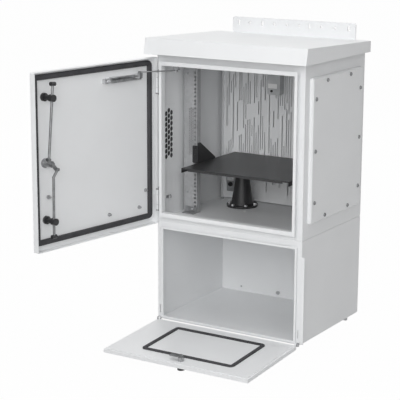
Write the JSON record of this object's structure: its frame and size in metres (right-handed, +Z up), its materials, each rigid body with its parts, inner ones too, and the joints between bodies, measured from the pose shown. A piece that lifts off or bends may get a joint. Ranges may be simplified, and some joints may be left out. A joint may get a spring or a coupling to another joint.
{
  "type": "roadside utility cabinet",
  "caption": "Sheet-metal outdoor equipment cabinet: upper bay with side-hung rod-lock door, lower bay with drop-down door, sloping rain hood and hanging strips.",
  "frame": {"origin": "middle of the lower body's underside", "axes": "+X to the right of someone facing the cabinet, +Y towards its back, +Z up"},
  "size_m": [0.7353, 1.0727, 1.1404],
  "materials": {
    "paint": "light grey powder coat",
    "black_paint": "black powder coat",
    "zinc": "zinc-plated steel",
    "seal": "dark foamed rubber seal",
    "black_plastic": "black moulded plastic",
    "grey_plastic": "light grey moulded plastic"
  },
  "bodies": {
    "cabinet": {"upper_body": "paint", "lower_body": "paint", "roof_hood": "paint", "roof_rails": "zinc", "upper_strip": "paint", "lower_strip": "paint", "strip_bolts": "zinc", "joining_bolts": "zinc", "corner_strip": "paint", "side_cover": "paint", "side_cover_screws": "zinc", "vent_grille": "paint", "vent_filter": "seal", "vent_hood": "paint", "back_panel": "paint", "panel_standoffs": "zinc", "rack_rail_left": "paint", "rack_rail_right": "paint", "rail_feet": "zinc", "shelf": "black_paint", "shelf_brackets": "black_paint", "shelf_runners": "black_paint", "bracket_bolts": "black_paint", "pedestal": "black_paint", "pedestal_bolts": "zinc", "sensor_box": "grey_plastic", "sensor_knob": "black_plastic", "cable_clip": "zinc", "hinge_bracket_upper": "paint", "hinge_bracket_lower": "paint", "hinge_pins": "zinc", "stay_bracket": "zinc", "flap_lugs": "zinc", "flap_pins": "zinc"},
    "upper_door_body": {"upper_door": "paint", "upper_seal": "seal", "hinge_leaf_upper": "paint", "hinge_leaf_lower": "paint", "lock_housing": "zinc", "lock_rosette": "black_plastic", "rod_guide_upper": "black_plastic", "rod_guide_lower": "black_plastic", "earth_stud": "zinc", "door_studs": "zinc", "stay_channel": "zinc", "stay_head": "zinc"},
    "lock_body": {"lock_barrel": "zinc", "lock_cam": "zinc"},
    "upper_rod_body": {"upper_rod": "zinc", "upper_rod_end": "black_plastic"},
    "lower_rod_body": {"lower_rod": "zinc", "lower_rod_end": "black_plastic"},
    "stay_slider_body": {"stay_slider": "zinc"},
    "stay_rod_body": {"stay_rod": "zinc"},
    "lower_door_body": {"lower_door": "paint", "lower_door_liner": "paint", "lower_seal": "seal", "latch_housing": "zinc"},
    "latch_body": {"latch_knob": "black_plastic", "latch_cam": "zinc"}
  },
  "joints": [
    {"name": "upper_door_swing", "type": "hinge", "parent": "cabinet", "child": "upper_door_body", "pos_m": [-0.294, -0.246, 0.673], "axis": [0, 0, -1], "range_deg": [-99, 0]},
    {"name": "lock_turn", "type": "hinge", "parent": "upper_door_body", "child": "lock_body", "pos_m": [-0.38492, -0.77529, 0.67], "axis": [-0.9877, 0.1564, 0], "range_deg": [0, 45]},
    {"name": "upper_rod_turn", "type": "hinge", "parent": "lock_body", "child": "upper_rod_body", "pos_m": [-0.35828, -0.79884, 0.68909], "axis": [-0.9877, 0.1564, 0], "range_deg": [-50.32, 0]},
    {"name": "lower_rod_turn", "type": "hinge", "parent": "lock_body", "child": "lower_rod_body", "pos_m": [-0.3523, -0.76113, 0.65091], "axis": [-0.9877, 0.1564, 0], "range_deg": [-52.21, 0]},
    {"name": "stay_slide", "type": "slide", "parent": "upper_door_body", "child": "stay_slider_body", "axis": [-0.1564, -0.9877, 0], "range_m": [0, 0.11477]},
    {"name": "stay_swing", "type": "hinge", "parent": "cabinet", "child": "stay_rod_body", "pos_m": [-0.225, -0.227, 0.935], "axis": [0, 0, 1], "range_deg": [0, 119.83]},
    {"name": "lower_door_drop", "type": "hinge", "parent": "cabinet", "child": "lower_door_body", "pos_m": [0, -0.241, 0.001], "axis": [1, 0, 0], "range_deg": [-93, 0]},
    {"name": "latch_turn", "type": "hinge", "parent": "lower_door_body", "child": "latch_body", "pos_m": [0.01, -0.56056, -0.01575], "axis": [0, -0.0523, 0.9986], "range_deg": [0, 90]}
  ],
  "couplings": [
    {"joint": "upper_rod_turn", "follows": "lock_turn", "ratio": -1.1183},
    {"joint": "lower_rod_turn", "follows": "lock_turn", "ratio": -1.1602},
    {"joint": "stay_slide", "follows": "upper_door_swing", "m_per_rad": -0.066418},
    {"joint": "stay_swing", "follows": "upper_door_swing", "ratio": -1.2103}
  ]
}
